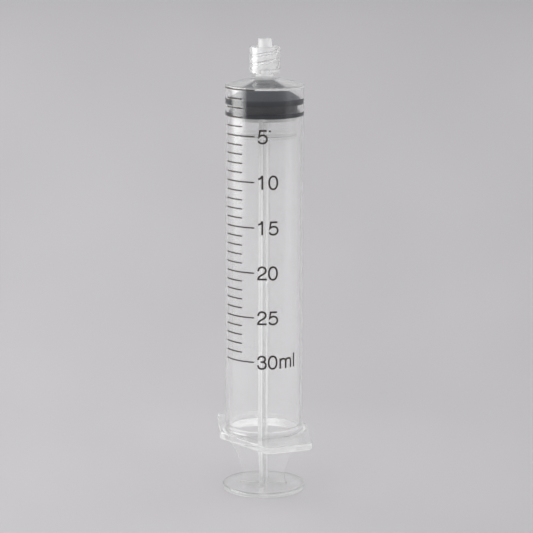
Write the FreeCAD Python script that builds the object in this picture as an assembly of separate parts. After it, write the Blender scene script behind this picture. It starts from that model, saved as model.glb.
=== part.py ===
"""Luer lock syringe of 30 ml, standing on its thumb disc with the plunger pushed home.

Lengths are millimetres. The origin is the centre of the thumb disc's underside. +Z runs up the
barrel to the luer tip, and +X is to the reader's right when the scale faces the reader, at -Y.
Three mouldings make the syringe: the barrel, the plunger rod, and the rubber stopper that snaps
on to the rod. The scale is a thin printed layer on the barrel.
"""

import FreeCAD
import Part

import math
import os

# Barrel tube. The bore and the volume of one division set the spacing of the scale.
BORE_R = 10.8
BARREL_WALL = 1.05
BARREL_LENGTH = 108.05
ROOF_SLOPE_DEG = 15.2
SHOULDER_ROUND_R = 0.6
MOUTH_CHAMFER = 0.4

# Bead inside the mouth that stops the stopper from being pulled right out
BEAD_STANDS_IN = 0.25
BEAD_WIDTH = 1.4
BEAD_FROM_MOUTH = 3.0

# Finger flange: a long hexagon with rounded corners and slightly bowed ends
FLANGE_THICKNESS = 2.15
FLANGE_HALF_LENGTH = 21.2
FLANGE_END_HALF_WIDTH = 7.6
FLANGE_MID_HALF_WIDTH = 14.3
FLANGE_END_BOW = 0.5
FLANGE_CORNER_R = 2.4
FLANGE_EDGE_R = 0.35
FLANGE_COVE_R = 1.1
FLANGE_TURN_DEG = -69.0

# Neck and luer lock collar. The male cone has the 6 in 100 taper of every luer fitting.
NECK_R = 2.66
NECK_HEIGHT = 0.95
COLLAR_R = 4.58
COLLAR_HEIGHT = 7.85
COLLAR_FLOOR = 1.1
COLLAR_EDGE_R = 0.2
TIP_R = 2.0
TIP_TAPER = 0.06
TIP_ABOVE_COLLAR = 2.4
TIP_EDGE_R = 0.2
NOZZLE_BORE_R = 1.1

# Thread inside the collar, right-handed, two starts
THREAD_ROOT_R = 4.0
THREAD_CREST_R = 3.5
THREAD_STARTS = 2
THREAD_PITCH = 2.5
THREAD_ROOT_WIDTH = 1.1
THREAD_CREST_WIDTH = 0.5
THREAD_BITE = 0.15
THREAD_END_CLEARANCE = 0.5

# Stopper
STOPPER_CLEARANCE = 0.04
LOWER_RIB_HEIGHT = 1.4
GROOVE_HEIGHT = 2.1
UPPER_RIB_HEIGHT = 1.8
GROOVE_DEPTH = 0.95
RIB_EDGE_R = 0.15
CROWN_SLOPE_DEG = 30.2
CROWN_TOP_R = 1.6
CROWN_GAP = 0.3
SOCKET_LIP_R = 3.9
SOCKET_LIP_HEIGHT = 1.5
SOCKET_R = 5.4
SOCKET_HEIGHT = 2.6
SOCKET_TOP_R = 3.0
SOCKET_CROWN_HEIGHT = 1.6

# Plunger rod: four ribs, a disc under the stopper, a guide disc and the thumb disc
THUMB_DISC_R = 12.7
THUMB_DISC_THICKNESS = 1.5
THUMB_DISC_EDGE_R = 0.5
THUMB_STANDOFF = 15.15
ROD_RIB_THICKNESS = 1.45
ROD_TURN_DEG = -6.0
RIB_TOP_R = 9.65
RIB_GUIDE_R = 10.15
RIB_FOOT_R = 6.9
RIB_WAIST_R = 6.4
RIB_WAIST_HEIGHT = 3.0
RIB_FLARE_LOW_R = 6.85
RIB_FLARE_LOW_HEIGHT = 5.2
RIB_FLARE_HIGH_R = 9.0
RIB_FLARE_HIGH_HEIGHT = 10.6
RIB_GUIDE_HEIGHT = 12.6
RIB_FOOT_FILLET_R = 0.4
SUPPORT_DISC_R = 9.65
SUPPORT_DISC_THICKNESS = 1.0
GUIDE_DISC_DROP = 4.4
GUIDE_DISC_THICKNESS = 0.8
HEAD_PLAY = 0.1

# Printed scale
SCALE_DIVISIONS_ML = 30
SCALE_LONG_EVERY_ML = 5
SCALE_ZERO_DROP = 0.63
PRINT_THICKNESS = 0.03
TICK_WIDTH = 0.38
TICK_START_DEG = 201.5
SHORT_TICK_DEG = 34.8
LONG_TICK_DEG = 54.1
ZERO_TICK_LEAD_DEG = 13.5

CUBIC_MM_PER_ML = 1000.0

# Distance under which two heights or radii count as the same
SAME = 1e-4

# Sizes that follow from those above
BARREL_R = BORE_R + BARREL_WALL
STOPPER_R = BORE_R - STOPPER_CLEARANCE
ROOF_RISE = math.tan(math.radians(ROOF_SLOPE_DEG))
ROOF_DROP = BARREL_WALL / math.cos(math.radians(ROOF_SLOPE_DEG))
CROWN_RISE = math.tan(math.radians(CROWN_SLOPE_DEG))
CROWN_HEIGHT = (STOPPER_R - CROWN_TOP_R) * CROWN_RISE
STOPPER_HEIGHT = LOWER_RIB_HEIGHT + GROOVE_HEIGHT + UPPER_RIB_HEIGHT + CROWN_HEIGHT
ML_SPACING = CUBIC_MM_PER_ML / (math.pi * BORE_R**2)

THUMB_TOP_Z = THUMB_DISC_THICKNESS
MOUTH_Z = THUMB_TOP_Z + THUMB_STANDOFF
FLANGE_TOP_Z = MOUTH_Z + FLANGE_THICKNESS
SHOULDER_Z = MOUTH_Z + BARREL_LENGTH
NECK_Z = SHOULDER_Z + (BARREL_R - NECK_R) * ROOF_RISE
COLLAR_Z = NECK_Z + NECK_HEIGHT
COLLAR_FLOOR_Z = COLLAR_Z + COLLAR_FLOOR
COLLAR_TOP_Z = COLLAR_Z + COLLAR_HEIGHT
TIP_Z = COLLAR_TOP_Z + TIP_ABOVE_COLLAR
STOPPER_TOP_Z = SHOULDER_Z + (BARREL_R - CROWN_TOP_R) * ROOF_RISE - ROOF_DROP - CROWN_GAP
STOPPER_Z = STOPPER_TOP_Z - STOPPER_HEIGHT
SUPPORT_Z = STOPPER_Z - HEAD_PLAY
BEAD_Z = MOUTH_Z + BEAD_FROM_MOUTH

UP = FreeCAD.Vector(0, 0, 1)
ORIGIN = FreeCAD.Vector(0, 0, 0)


def roof_inside_z(radius):
    """Height of the roof's inner face at a radius."""
    return SHOULDER_Z + (BARREL_R - radius) * ROOF_RISE - ROOF_DROP


def cone_r(z):
    """Radius of the male luer cone at a height."""
    return TIP_R + (TIP_Z - z) * TIP_TAPER / 2


def revolved(points):
    """Solid turned about Z from a closed outline of (radius, height) points."""
    corners = [FreeCAD.Vector(r, 0, z) for r, z in points]
    outline = Part.makePolygon(corners + corners[:1])
    return Part.Face(outline).revolve(ORIGIN, UP, 360)


def rims(shape, wanted):
    """The circular edges about Z at the wanted (radius, height) pairs."""
    found = []
    for edge in shape.Edges:
        curve = edge.Curve
        if not isinstance(curve, Part.Circle):
            continue
        for radius, z in wanted:
            if abs(curve.Radius - radius) < SAME and abs(curve.Center.z - z) < SAME:
                found.append(edge)
    return found


def flange_plate():
    """Finger flange with its corners and both rims rounded, still without the bore."""
    long, end, mid = FLANGE_HALF_LENGTH, FLANGE_END_HALF_WIDTH, FLANGE_MID_HALF_WIDTH

    def at(x, y):
        return FreeCAD.Vector(x, y, MOUTH_Z)

    right = Part.Arc(at(long, -end), at(long + FLANGE_END_BOW, 0), at(long, end)).toShape()
    left = Part.Arc(at(-long, end), at(-long - FLANGE_END_BOW, 0), at(-long, -end)).toShape()
    back = Part.makePolygon([at(long, end), at(0, mid), at(-long, end)]).Edges
    front = Part.makePolygon([at(-long, -end), at(0, -mid), at(long, -end)]).Edges
    outline = Part.Wire([right] + back + [left] + front)
    plate = Part.Face(outline).extrude(UP * FLANGE_THICKNESS)
    uprights = [e for e in plate.Edges if abs(e.BoundBox.ZLength - FLANGE_THICKNESS) < SAME]
    plate = plate.makeFillet(FLANGE_CORNER_R, uprights)
    level = [e for e in plate.Edges if e.BoundBox.ZLength < SAME]
    plate = plate.makeFillet(FLANGE_EDGE_R, level)
    plate.rotate(ORIGIN, UP, FLANGE_TURN_DEG)
    return plate


def thread_ridge(start_deg):
    """One start of the collar's thread: a tapered ridge on a helix, rooted in the wall."""
    lead = THREAD_PITCH * THREAD_STARTS
    low_z = COLLAR_FLOOR_Z + THREAD_END_CLEARANCE + THREAD_ROOT_WIDTH / 2
    high_z = COLLAR_TOP_Z - THREAD_END_CLEARANCE - THREAD_ROOT_WIDTH / 2
    helix = Part.makeHelix(lead, high_z - low_z, THREAD_ROOT_R)
    root, crest = THREAD_ROOT_WIDTH / 2, THREAD_CREST_WIDTH / 2
    corners = [
        FreeCAD.Vector(THREAD_ROOT_R + THREAD_BITE, 0, -root),
        FreeCAD.Vector(THREAD_CREST_R, 0, -crest),
        FreeCAD.Vector(THREAD_CREST_R, 0, crest),
        FreeCAD.Vector(THREAD_ROOT_R + THREAD_BITE, 0, root),
    ]
    section = Part.makePolygon(corners + corners[:1])
    ridge = Part.Wire(helix.Edges).makePipeShell([section], True, True)
    ridge = Part.Solid(Part.Shell(ridge.Faces))
    ridge.rotate(ORIGIN, UP, start_deg)
    ridge.translate(UP * low_z)
    return ridge


def barrel():
    """Tube, flange, roof, neck, male luer cone and threaded collar, moulded as one."""
    tube_foot_z = (MOUTH_Z + FLANGE_TOP_Z) / 2
    bead_r = BORE_R - BEAD_STANDS_IN
    body = revolved([
        (BORE_R + MOUTH_CHAMFER, MOUTH_Z),
        (BARREL_R, MOUTH_Z),
        (BARREL_R, SHOULDER_Z),
        (NECK_R, NECK_Z),
        (NECK_R, COLLAR_Z),
        (COLLAR_R, COLLAR_Z),
        (COLLAR_R, COLLAR_TOP_Z),
        (THREAD_ROOT_R, COLLAR_TOP_Z),
        (THREAD_ROOT_R, COLLAR_FLOOR_Z),
        (cone_r(COLLAR_FLOOR_Z), COLLAR_FLOOR_Z),
        (TIP_R, TIP_Z),
        (NOZZLE_BORE_R, TIP_Z),
        (NOZZLE_BORE_R, roof_inside_z(NOZZLE_BORE_R)),
        (BORE_R, roof_inside_z(BORE_R)),
        (BORE_R, BEAD_Z + BEAD_WIDTH),
        (bead_r, BEAD_Z + BEAD_WIDTH / 2),
        (BORE_R, BEAD_Z),
        (BORE_R, MOUTH_Z + MOUTH_CHAMFER),
    ])
    body = body.makeFillet(SHOULDER_ROUND_R, rims(body, [(BARREL_R, SHOULDER_Z)]))
    body = body.makeFillet(COLLAR_EDGE_R, rims(body, [(COLLAR_R, COLLAR_TOP_Z), (COLLAR_R, COLLAR_Z)]))
    body = body.makeFillet(TIP_EDGE_R, rims(body, [(TIP_R, TIP_Z)]))
    plate = flange_plate().cut(Part.makeCylinder(
        (BORE_R + BARREL_R) / 2, FLANGE_THICKNESS, FreeCAD.Vector(0, 0, MOUTH_Z)))
    cove = revolved([
        ((BORE_R + BARREL_R) / 2, tube_foot_z),
        (BARREL_R + FLANGE_COVE_R, tube_foot_z),
        (BARREL_R + FLANGE_COVE_R, FLANGE_TOP_Z),
        (BARREL_R, FLANGE_TOP_Z + FLANGE_COVE_R),
        ((BORE_R + BARREL_R) / 2, FLANGE_TOP_Z + FLANGE_COVE_R),
    ])
    ring = Part.makeTorus(BARREL_R + FLANGE_COVE_R, FLANGE_COVE_R,
                          FreeCAD.Vector(0, 0, FLANGE_TOP_Z + FLANGE_COVE_R), UP)
    cove = cove.cut(ring)
    ridges = [thread_ridge(360.0 * n / THREAD_STARTS) for n in range(THREAD_STARTS)]
    return body.multiFuse([plate, cove] + ridges).removeSplitter()


def stopper():
    """Rubber stopper: two sealing ribs, a conical crown and a socket for the rod's head."""
    groove_r = STOPPER_R - GROOVE_DEPTH
    groove_z = STOPPER_Z + LOWER_RIB_HEIGHT
    upper_rib_z = groove_z + GROOVE_HEIGHT
    crown_z = upper_rib_z + UPPER_RIB_HEIGHT
    socket_z = STOPPER_Z + SOCKET_LIP_HEIGHT
    socket_top_z = socket_z + SOCKET_HEIGHT
    rubber = revolved([
        (0, STOPPER_Z),
        (STOPPER_R, STOPPER_Z),
        (STOPPER_R, groove_z),
        (groove_r, groove_z),
        (groove_r, upper_rib_z),
        (STOPPER_R, upper_rib_z),
        (STOPPER_R, crown_z),
        (CROWN_TOP_R, STOPPER_TOP_Z),
        (0, STOPPER_TOP_Z),
    ])
    sharp = [(STOPPER_R, STOPPER_Z), (STOPPER_R, groove_z), (STOPPER_R, upper_rib_z),
             (STOPPER_R, crown_z)]
    rubber = rubber.makeFillet(RIB_EDGE_R, rims(rubber, sharp))
    socket = revolved([
        (0, STOPPER_Z),
        (SOCKET_LIP_R, STOPPER_Z),
        (SOCKET_LIP_R, socket_z),
        (SOCKET_R, socket_z),
        (SOCKET_R, socket_top_z),
        (SOCKET_TOP_R, socket_top_z + SOCKET_CROWN_HEIGHT),
        (0, socket_top_z + SOCKET_CROWN_HEIGHT),
    ])
    return rubber.cut(socket)


def rib_plate():
    """Two opposite ribs of the rod as one flat plate, from the thumb disc to the top disc."""
    foot_z = THUMB_TOP_Z - THUMB_DISC_THICKNESS / 2
    top_z = SUPPORT_Z - SUPPORT_DISC_THICKNESS / 2

    def side(sign):
        def at(r, height):
            return FreeCAD.Vector(sign * r, -ROD_RIB_THICKNESS / 2, THUMB_TOP_Z + height)

        low = at(RIB_FLARE_LOW_R, RIB_FLARE_LOW_HEIGHT)
        high = at(RIB_FLARE_HIGH_R, RIB_FLARE_HIGH_HEIGHT)
        guide = at(RIB_GUIDE_R, RIB_GUIDE_HEIGHT)
        waist = Part.Arc(at(RIB_FOOT_R, 0), at(RIB_WAIST_R, RIB_WAIST_HEIGHT), low)
        bend = Part.BezierCurve()
        run = (RIB_GUIDE_HEIGHT - RIB_FLARE_HIGH_HEIGHT) / 3
        rise = (RIB_FLARE_HIGH_R - RIB_FLARE_LOW_R) / (RIB_FLARE_HIGH_HEIGHT - RIB_FLARE_LOW_HEIGHT)
        bend.setPoles([
            high,
            at(RIB_FLARE_HIGH_R + rise * run, RIB_FLARE_HIGH_HEIGHT + run),
            at(RIB_GUIDE_R, RIB_GUIDE_HEIGHT - run),
            guide,
        ])
        return [
            Part.makeLine(at(RIB_FOOT_R, foot_z - THUMB_TOP_Z), at(RIB_FOOT_R, 0)),
            waist.toShape(),
            Part.makeLine(low, high),
            bend.toShape(),
            Part.makeLine(guide, at(RIB_TOP_R, top_z - THUMB_TOP_Z)),
        ]

    right, left = side(1), side(-1)
    ends = [
        Part.makeLine(left[0].Vertexes[0].Point, right[0].Vertexes[0].Point),
        Part.makeLine(right[-1].Vertexes[-1].Point, left[-1].Vertexes[-1].Point),
    ]
    outline = Part.Wire(Part.__sortEdges__(right + left + ends))
    return Part.Face(outline).extrude(FreeCAD.Vector(0, ROD_RIB_THICKNESS, 0))


def plunger_rod():
    """Cruciform rod with its thumb disc, guide disc, support disc and the head for the stopper."""
    disc = Part.makeCylinder(THUMB_DISC_R, THUMB_DISC_THICKNESS)
    disc = disc.makeFillet(THUMB_DISC_EDGE_R, rims(disc, [(THUMB_DISC_R, THUMB_TOP_Z), (THUMB_DISC_R, 0)]))
    plates = []
    for quarter in (0, 90):
        plate = rib_plate()
        plate.rotate(ORIGIN, UP, ROD_TURN_DEG + quarter)
        plates.append(plate)
    guide_z = SUPPORT_Z - SUPPORT_DISC_THICKNESS - GUIDE_DISC_DROP
    guide = Part.makeCylinder(SUPPORT_DISC_R, GUIDE_DISC_THICKNESS,
                              FreeCAD.Vector(0, 0, guide_z - GUIDE_DISC_THICKNESS))
    socket_z = STOPPER_Z + SOCKET_LIP_HEIGHT
    stem_r = SOCKET_LIP_R - HEAD_PLAY
    head_r = SOCKET_R - HEAD_PLAY
    head_z = socket_z + HEAD_PLAY
    barb_z = socket_z + SOCKET_HEIGHT - HEAD_PLAY
    head = revolved([
        (0, SUPPORT_Z - SUPPORT_DISC_THICKNESS),
        (SUPPORT_DISC_R, SUPPORT_Z - SUPPORT_DISC_THICKNESS),
        (SUPPORT_DISC_R, SUPPORT_Z),
        (stem_r, SUPPORT_Z),
        (stem_r, head_z),
        (head_r, head_z),
        (head_r, barb_z),
        (SOCKET_TOP_R - HEAD_PLAY, barb_z + SOCKET_CROWN_HEIGHT - HEAD_PLAY),
        (0, barb_z + SOCKET_CROWN_HEIGHT - HEAD_PLAY),
    ])
    rod = disc.multiFuse(plates + [guide, head]).removeSplitter()
    foot = [e for e in rod.Edges if e.BoundBox.ZLength < SAME
            and abs(e.BoundBox.ZMin - THUMB_TOP_Z) < SAME and not isinstance(e.Curve, Part.Circle)]
    return rod.makeFillet(RIB_FOOT_FILLET_R, foot)


def graduation_marks():
    """Printed divisions of the scale, one each millilitre, as thin plates round the barrel."""
    ticks = []
    for ml in range(SCALE_DIVISIONS_ML + 1):
        sweep = LONG_TICK_DEG if ml % SCALE_LONG_EVERY_ML == 0 else SHORT_TICK_DEG
        lead = ZERO_TICK_LEAD_DEG if ml == 0 else 0
        low_z = SHOULDER_Z - SCALE_ZERO_DROP - ml * ML_SPACING - TICK_WIDTH / 2
        corners = [
            FreeCAD.Vector(BARREL_R, 0, low_z),
            FreeCAD.Vector(BARREL_R + PRINT_THICKNESS, 0, low_z),
            FreeCAD.Vector(BARREL_R + PRINT_THICKNESS, 0, low_z + TICK_WIDTH),
            FreeCAD.Vector(BARREL_R, 0, low_z + TICK_WIDTH),
        ]
        tick = Part.Face(Part.makePolygon(corners + corners[:1])).revolve(ORIGIN, UP, lead + sweep)
        tick.rotate(ORIGIN, UP, TICK_START_DEG - lead)
        ticks.append(tick)
    return Part.makeCompound(ticks)


def main():
    """Write one STEP file for each sub-part and print what each one measures."""
    os.makedirs("parts", exist_ok=True)
    pieces = {
        "barrel": barrel(),
        "plunger_rod": plunger_rod(),
        "stopper": stopper(),
        "graduation_marks": graduation_marks(),
    }
    for name, shape in pieces.items():
        shape.exportStep(f"parts/{name}.step")
        box = shape.BoundBox
        print(f"{name}: {len(shape.Solids)} solids, {shape.Volume:.1f} mm3, valid {shape.isValid()}, "
              f"z {box.ZMin:.2f} to {box.ZMax:.2f}, x {box.XLength:.2f}, y {box.YLength:.2f}")
    travel = STOPPER_Z - (BEAD_Z + BEAD_WIDTH)
    print(f"travel to the bead {travel:.2f}, one millilitre {ML_SPACING:.3f}, height {TIP_Z:.2f}")


main()
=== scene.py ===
"""Finishes, printing and studio of a 30 ml luer lock syringe that stands on its thumb disc.

The frame gives every piece its place. Each moulding is built again here with rounder edges and a
finer mesh, and the printed scale is laid on the barrel. Sizes in the classes are millimetres in
the part's own frame, and angles are degrees. Meshes are in metres.
"""

import logging
import math
from dataclasses import dataclass
from dataclasses import field
from enum import Enum

import bmesh
import bpy
import numpy as np
from mathutils import Matrix
from mathutils import Vector

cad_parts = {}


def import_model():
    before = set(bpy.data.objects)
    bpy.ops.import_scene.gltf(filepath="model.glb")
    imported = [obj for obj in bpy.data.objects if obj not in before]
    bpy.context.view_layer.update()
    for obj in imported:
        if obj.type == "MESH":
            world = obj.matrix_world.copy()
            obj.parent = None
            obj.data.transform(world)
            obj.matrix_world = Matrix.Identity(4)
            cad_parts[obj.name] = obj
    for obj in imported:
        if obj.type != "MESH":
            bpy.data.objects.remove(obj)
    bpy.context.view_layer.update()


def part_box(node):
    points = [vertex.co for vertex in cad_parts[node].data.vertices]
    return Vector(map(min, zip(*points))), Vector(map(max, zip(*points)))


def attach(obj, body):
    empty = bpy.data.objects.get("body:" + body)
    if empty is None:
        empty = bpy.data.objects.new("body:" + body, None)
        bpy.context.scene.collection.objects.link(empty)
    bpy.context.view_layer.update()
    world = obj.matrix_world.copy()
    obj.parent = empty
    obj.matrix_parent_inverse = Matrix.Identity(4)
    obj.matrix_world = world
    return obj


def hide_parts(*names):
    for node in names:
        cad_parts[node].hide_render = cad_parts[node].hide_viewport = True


LOG = logging.getLogger("syringe")
MM = 0.001
CUBIC_MM_PER_ML = 1000.0

Point = tuple[float, float]


class Body(Enum):
    """The bodies of the frame that a piece can ride on."""

    BARREL = "barrel"
    STOPPER = "stopper"
    ROD = "plunger_rod"


class Slot(Enum):
    """The record's material slots."""

    BARREL = "barrel_polypropylene"
    ROD = "rod_polypropylene"
    STOPPER = "stopper_rubber"
    INK = "printing_ink"


def linear(colour: str) -> tuple[float, float, float, float]:
    """Turn an sRGB hex colour into a linear one.

    Args:
        colour: The colour, such as "#c0c0c0".

    Returns:
        Linear red, green, blue and alpha.
    """
    parts = [int(colour[i:i + 2], 16) / 255 for i in (1, 3, 5)]
    red, green, blue = [c / 12.92 if c <= 0.04045 else ((c + 0.055) / 1.055) ** 2.4 for c in parts]
    return red, green, blue, 1.0


def add_node(tree: bpy.types.NodeTree, kind: str, sockets: dict | None = None, **settings) -> bpy.types.Node:
    """Add a node with its settings, its socket values and its incoming links.

    Args:
        tree: Node tree that the node goes into.
        kind: Blender's name of the node type.
        sockets: For an input's name or number, a plain value, the output that feeds it, or the node
            whose first output in use feeds it.
        **settings: Attributes of the node.

    Returns:
        The new node.
    """
    node = tree.nodes.new(kind)
    for name, value in settings.items():
        setattr(node, name, value)
    for name, value in (sockets or {}).items():
        if isinstance(value, bpy.types.Node):
            value = next(output for output in value.outputs if output.enabled)
        if isinstance(value, bpy.types.NodeSocket):
            tree.links.new(value, node.inputs[name])
        else:
            node.inputs[name].default_value = value
    return node


def new_material(name: str) -> tuple[bpy.types.Material, bpy.types.NodeTree, bpy.types.NodeSocket]:
    """Make an empty node material.

    Args:
        name: Name of the material.

    Returns:
        The material, its node tree, and the output with the coordinates in the piece that wears it.
    """
    material = bpy.data.materials.new(name)
    material.use_nodes = True
    tree = material.node_tree
    tree.nodes.clear()
    return material, tree, add_node(tree, "ShaderNodeTexCoord").outputs["Object"]


def per_metre(size_mm: float) -> float:
    """Scale of a texture whose features are size_mm apart, in object coordinates."""
    return 1.0 / (size_mm * MM)


@dataclass(frozen=True)
class MattCore:
    """A ring round the axis where the mould's core wasn't polished, so that the plastic is frosted.

    Attributes:
        radius: Middle radius of the ring.
        radius_reach: How far the ring reaches from there, inwards and outwards.
        height: Middle height of the ring.
        height_reach: How far the ring reaches from there, up and down.
        roughness: Roughness of the frosted skin.
    """

    radius: float = 2.15
    radius_reach: float = 2.1
    height: float = 131.6
    height_reach: float = 7.1
    roughness: float = 0.5

    def over(self, tree: bpy.types.NodeTree, place: bpy.types.NodeSocket, polished: float) -> bpy.types.Node:
        """Lay the frost over a polished skin.

        Args:
            tree: Node tree of the material.
            place: Coordinates in the piece.
            polished: Roughness elsewhere.

        Returns:
            The node that gives the roughness of both.
        """
        split = add_node(tree, "ShaderNodeSeparateXYZ", {"Vector": place})
        level = add_node(tree, "ShaderNodeCombineXYZ", {"X": split.outputs["X"], "Y": split.outputs["Y"]})
        away = add_node(tree, "ShaderNodeVectorMath", {0: level}, operation="LENGTH")
        in_ring = add_node(tree, "ShaderNodeMath", {
            0: away, 1: self.radius * MM, 2: self.radius_reach * MM}, operation="COMPARE")
        in_height = add_node(tree, "ShaderNodeMath", {
            0: split.outputs["Z"], 1: self.height * MM, 2: self.height_reach * MM}, operation="COMPARE")
        frosted = add_node(tree, "ShaderNodeMath", {
            0: in_ring, 1: in_height}, operation="MULTIPLY")
        return add_node(tree, "ShaderNodeMapRange", {
            "Value": frosted, "To Min": polished, "To Max": self.roughness})


@dataclass(frozen=True)
class MouldedPolypropylene:
    """Clarified polypropylene, injection moulded.

    It is nearly clear, with a faint milky haze from its crystals, and its skin is glossy with the
    slight waviness of a polished mould. Lamps shine through it, so that its shadows stay light.

    Attributes:
        name: Name of the material.
        roughness: Roughness of the skin and of what is seen through it.
        milk_per_mm: Share of the light that a millimetre of the plastic scatters.
        ripple_mm: Distance between the waves of the skin.
        matt: Where the mould was left matt, if anywhere.
        tint: Colour of the plastic as sRGB hex.
        clarity: Share of the light that goes through instead of being scattered.
        ripple_depth_mm: Height of the waves.
        shadow_tint: Colour of the light that a wall lets through to what lies behind.
        ior: Index of refraction of polypropylene.
        forward_scatter: How far the milk throws light forwards, from 0 for evenly to 1.
    """

    name: str
    roughness: float
    milk_per_mm: float
    ripple_mm: float
    matt: MattCore | None = None
    tint: str = "#fefefe"
    clarity: float = 1.0
    ripple_depth_mm: float = 0.004
    shadow_tint: str = "#fdfdfd"
    ior: float = 1.49
    forward_scatter: float = 0.3

    def material(self) -> bpy.types.Material:
        """Build the material and return it."""
        material, tree, place = new_material(self.name)
        ripple = add_node(tree, "ShaderNodeTexNoise", {
            "Vector": place, "Scale": per_metre(self.ripple_mm), "Detail": 2.0})
        bump = add_node(tree, "ShaderNodeBump", {
            "Height": ripple, "Distance": self.ripple_depth_mm * MM, "Strength": 1.0})
        skin = self.matt.over(tree, place, self.roughness) if self.matt else self.roughness
        plastic = add_node(tree, "ShaderNodeBsdfPrincipled", {
            "Base Color": linear(self.tint), "Roughness": skin, "IOR": self.ior,
            "Transmission Weight": self.clarity, "Normal": bump})
        clear = add_node(tree, "ShaderNodeBsdfTransparent", {"Color": linear(self.shadow_tint)})
        path = add_node(tree, "ShaderNodeLightPath")
        lit_inside = add_node(tree, "ShaderNodeMixShader", {
            "Fac": path.outputs["Is Volume Scatter Ray"], 1: plastic, 2: clear})
        mix = add_node(tree, "ShaderNodeMixShader", {
            "Fac": path.outputs["Is Shadow Ray"], 1: lit_inside, 2: clear})
        milk = add_node(tree, "ShaderNodeVolumeScatter", {
            "Color": linear(self.tint), "Density": self.milk_per_mm / MM, "Anisotropy": self.forward_scatter})
        add_node(tree, "ShaderNodeOutputMaterial", {
            "Surface": mix, "Volume": milk})
        return material


@dataclass(frozen=True)
class MouldedRubber:
    """Chlorobutyl rubber, compression moulded, with a thin film of silicone oil.

    It is a dark slate grey with a satin skin, a little uneven where the mineral filler shows.

    Attributes:
        dark: Deeper colour of the rubber as sRGB hex.
        pale: Colour where the filler shows, as sRGB hex.
        roughness: Roughness of the skin.
        gloss: Strength of the skin's mirroring, where 0.5 is that of a common plastic.
        grain_mm: Size of the filler's patches.
        grain_depth_mm: Height of the skin's grain.
    """

    dark: str = "#0c1522"
    pale: str = "#151f2e"
    roughness: float = 0.45
    gloss: float = 0.25
    grain_mm: float = 0.5
    grain_depth_mm: float = 0.006

    def material(self) -> bpy.types.Material:
        """Build the material and return it."""
        material, tree, place = new_material("slate_chlorobutyl_rubber")
        grain = add_node(tree, "ShaderNodeTexNoise", {
            "Vector": place, "Scale": per_metre(self.grain_mm), "Detail": 4.0})
        colour = add_node(tree, "ShaderNodeMix", {
            "Factor": grain, "A": linear(self.dark), "B": linear(self.pale)},
            data_type="RGBA")
        bump = add_node(tree, "ShaderNodeBump", {
            "Height": grain, "Distance": self.grain_depth_mm * MM, "Strength": 1.0})
        rubber = add_node(tree, "ShaderNodeBsdfPrincipled", {
            "Base Color": colour, "Roughness": self.roughness,
            "Specular IOR Level": self.gloss, "Normal": bump})
        add_node(tree, "ShaderNodeOutputMaterial", {"Surface": rubber})
        return material


@dataclass(frozen=True)
class PadPrintedInk:
    """Pad printed ink on plastic: a thin matt film, nearly black, a little thin in places.

    Attributes:
        full: Colour where the film is thick, as sRGB hex.
        thin: Colour where it is thin, as sRGB hex.
        roughness: Roughness of the film.
        patch_mm: Size of the thin places.
    """

    full: str = "#2a2019"
    thin: str = "#3f352d"
    roughness: float = 0.55
    patch_mm: float = 0.6

    def material(self) -> bpy.types.Material:
        """Build the material and return it."""
        material, tree, place = new_material("pad_printed_ink")
        patches = add_node(tree, "ShaderNodeTexNoise", {
            "Vector": place, "Scale": per_metre(self.patch_mm), "Detail": 3.0})
        colour = add_node(tree, "ShaderNodeMix", {
            "Factor": patches, "A": linear(self.full), "B": linear(self.thin)},
            data_type="RGBA")
        ink = add_node(tree, "ShaderNodeBsdfPrincipled", {
            "Base Color": colour, "Roughness": self.roughness})
        add_node(tree, "ShaderNodeOutputMaterial", {"Surface": ink})
        return material


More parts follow.
